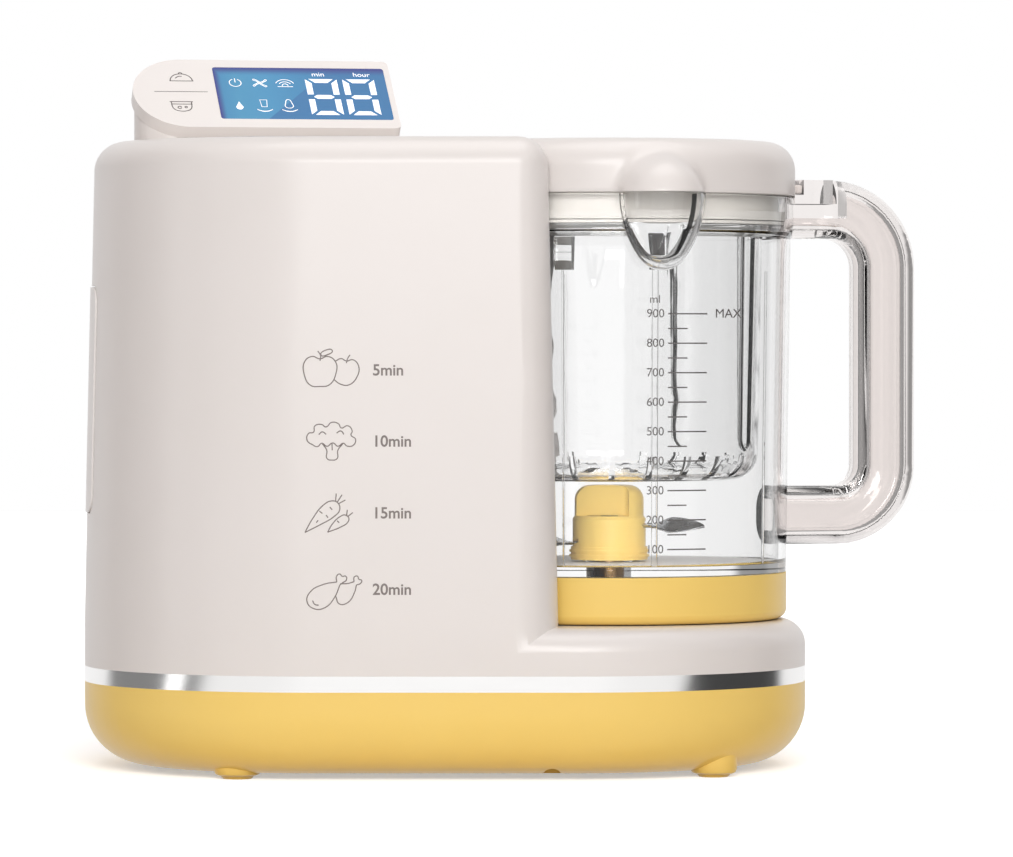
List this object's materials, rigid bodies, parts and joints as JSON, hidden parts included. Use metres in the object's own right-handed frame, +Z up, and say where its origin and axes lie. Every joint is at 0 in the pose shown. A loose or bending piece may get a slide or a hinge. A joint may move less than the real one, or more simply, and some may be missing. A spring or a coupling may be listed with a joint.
{
  "type": "baby food maker",
  "caption": "Countertop baby food steamer and blender: white tower on a yellow base, steel band, tilted display, and a lift-off clear jug with basket, blade unit and D handle.",
  "frame": {"origin": "on the table under the middle of the bounding box", "axes": "+X to the right, from tower to jug handle; +Y to the back; +Z up"},
  "size_m": [0.2824, 0.157, 0.2399],
  "materials": {
    "white_housing": "satin moulded",
    "yellow_plastic": "satin moulded",
    "clear_plastic": "polished clear",
    "band_steel": "brushed",
    "blade_steel": "ground",
    "screw_steel": "plated",
    "display_blue": "glossy lit panel",
    "inner_white": "matte moulded",
    "dark_plastic": "matte moulded",
    "grey_plastic": "matte moulded",
    "circuit_board": "lacquered",
    "motor_steel": "satin",
    "cast_aluminium": "as cast",
    "silicone": "matte",
    "yellow_silicone": "matte",
    "belt_rubber": "matte",
    "bush_bronze": "turned"
  },
  "bodies": {
    "machine": {"base_tray": "yellow_plastic", "feet": "yellow_silicone", "base_screws": "screw_steel", "trim_band": "band_steel", "chassis": "inner_white", "tower_shell": "white_housing", "tank_sleeve": "inner_white", "tank_dock": "grey_plastic", "display_housing": "white_housing", "display_plate": "white_housing", "display_lens": "display_blue", "display_module": "dark_plastic", "display_board": "circuit_board", "motor_mount": "motor_steel", "motor_body": "motor_steel", "drive_belt": "belt_rubber", "bearing_housing": "grey_plastic", "shaft_seal": "belt_rubber", "boiler_bracket": "screw_steel", "boiler": "cast_aluminium", "thermostat": "dark_plastic", "water_pump": "grey_plastic", "feed_hose": "silicone", "boiler_hose": "silicone", "steam_pipe": "silicone", "steam_seal": "silicone", "power_board": "circuit_board", "cord_gland": "inner_white", "interlock_switch": "dark_plastic", "interlock_spring": "screw_steel"},
    "pin": {"interlock_pin": "inner_white"},
    "motor": {"motor_shaft": "screw_steel", "motor_pulley": "dark_plastic"},
    "drive": {"drive_shaft": "screw_steel", "drive_pulley": "dark_plastic", "drive_coupling": "dark_plastic"},
    "tank": {"tank_body": "clear_plastic", "tank_door": "white_housing", "tank_cap": "yellow_plastic", "tank_valve": "grey_plastic"},
    "jug": {"jug_body": "clear_plastic", "base_ring": "yellow_plastic", "base_seal": "silicone", "post_bush": "bush_bronze", "jug_handle": "clear_plastic", "lid_catch": "clear_plastic"},
    "blade": {"blade_hub": "yellow_plastic", "blades": "blade_steel", "blade_shaft": "screw_steel", "driven_coupling": "dark_plastic"},
    "basket": {"steam_basket": "clear_plastic"},
    "gasket": {"lid_gasket": "silicone"},
    "lid": {"lid_cap": "white_housing", "lid_plug": "inner_white", "steam_duct": "inner_white"}
  },
  "joints": [
    {"name": "drive_spin", "type": "hinge", "parent": "machine", "child": "drive", "pos_m": [0.0364, 0, 0.04], "axis": [0, 0, 1], "continuous": true},
    {"name": "motor_spin", "type": "hinge", "parent": "machine", "child": "motor", "pos_m": [-0.0627, 0, 0.04], "axis": [0, 0, 1], "continuous": true},
    {"name": "jug_lift", "type": "slide", "parent": "machine", "child": "jug", "axis": [0, 0, 1], "range_m": [0, 0.165]},
    {"name": "blade_spin", "type": "hinge", "parent": "jug", "child": "blade", "pos_m": [0.0364, 0, 0.08], "axis": [0, 0, 1], "continuous": true},
    {"name": "basket_lift", "type": "slide", "parent": "jug", "child": "basket", "axis": [0, 0, 1], "range_m": [0, 0.1]},
    {"name": "lid_lift", "type": "slide", "parent": "basket", "child": "gasket", "axis": [0, 0, 1], "range_m": [0, 0.06]},
    {"name": "lid_turn", "type": "hinge", "parent": "gasket", "child": "lid", "pos_m": [0.0364, 0, 0.2], "axis": [0, 0, 1], "range_deg": [0, 20]},
    {"name": "tank_slide", "type": "slide", "parent": "machine", "child": "tank", "axis": [-1, 0, 0], "range_m": [0, 0.078]},
    {"name": "pin_press", "type": "slide", "parent": "machine", "child": "pin", "axis": [0, 0, -1], "range_m": [0, 0.0025], "stiffness_N_per_m": 400, "springref_m": -0.0005, "deforming": ["interlock_spring"]}
  ],
  "couplings": [
    {"joint": "motor_spin", "follows": "drive_spin", "ratio": 3},
    {"joint": "blade_spin", "follows": "drive_spin", "ratio": 1}
  ]
}
